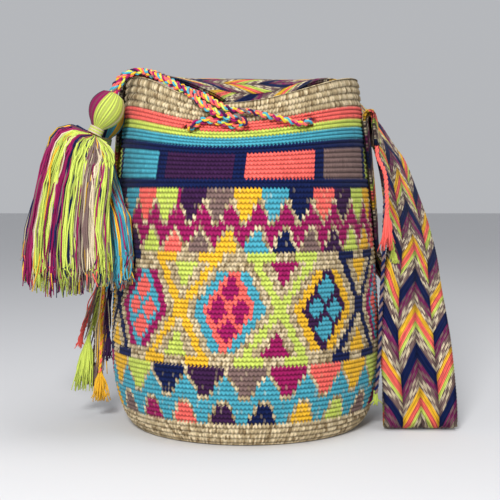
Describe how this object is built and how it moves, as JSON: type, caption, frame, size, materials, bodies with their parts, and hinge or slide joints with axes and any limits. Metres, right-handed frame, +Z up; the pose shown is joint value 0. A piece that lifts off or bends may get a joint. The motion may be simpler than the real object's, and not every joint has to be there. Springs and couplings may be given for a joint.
{
  "type": "crocheted shoulder bag",
  "caption": "Crocheted Wayuu mochila bucket bag with a patterned body, a woven shoulder strap, a braided drawstring with yarn tassels and twisted fringes",
  "frame": {"origin": "centre of the flat base", "axes": "Z up, X to the right towards the hanging strap, front of the bag at -Y"},
  "size_m": [0.3978, 0.2538, 0.3359],
  "materials": {
    "body_yarn": "matt crocheted cotton and acrylic yarn",
    "strap_yarn": "matt woven yarn band",
    "cord_yarn": "matt braided yarn",
    "tassel_yarn": "matt loose yarn",
    "tie_yarn": "matt wound thread"
  },
  "bodies": {
    "root": {"bag_body": "body_yarn", "strap": "strap_yarn", "drawstring": "cord_yarn", "drawstring_left_tail": "cord_yarn", "drawstring_right_tail": "cord_yarn", "tassel_left": "tassel_yarn", "tassel_left_tie": "tie_yarn", "tassel_right": "tassel_yarn", "tassel_right_tie": "tie_yarn", "fringe_left_plum": "strap_yarn", "fringe_left_gold": "strap_yarn", "fringe_left_taupe_1": "strap_yarn", "fringe_left_lime": "strap_yarn", "fringe_left_taupe_2": "strap_yarn", "fringe_left_coral": "strap_yarn", "fringe_right_lime_1": "strap_yarn", "fringe_right_lime_2": "strap_yarn", "fringe_right_coral": "strap_yarn"}
  },
  "joints": []
}
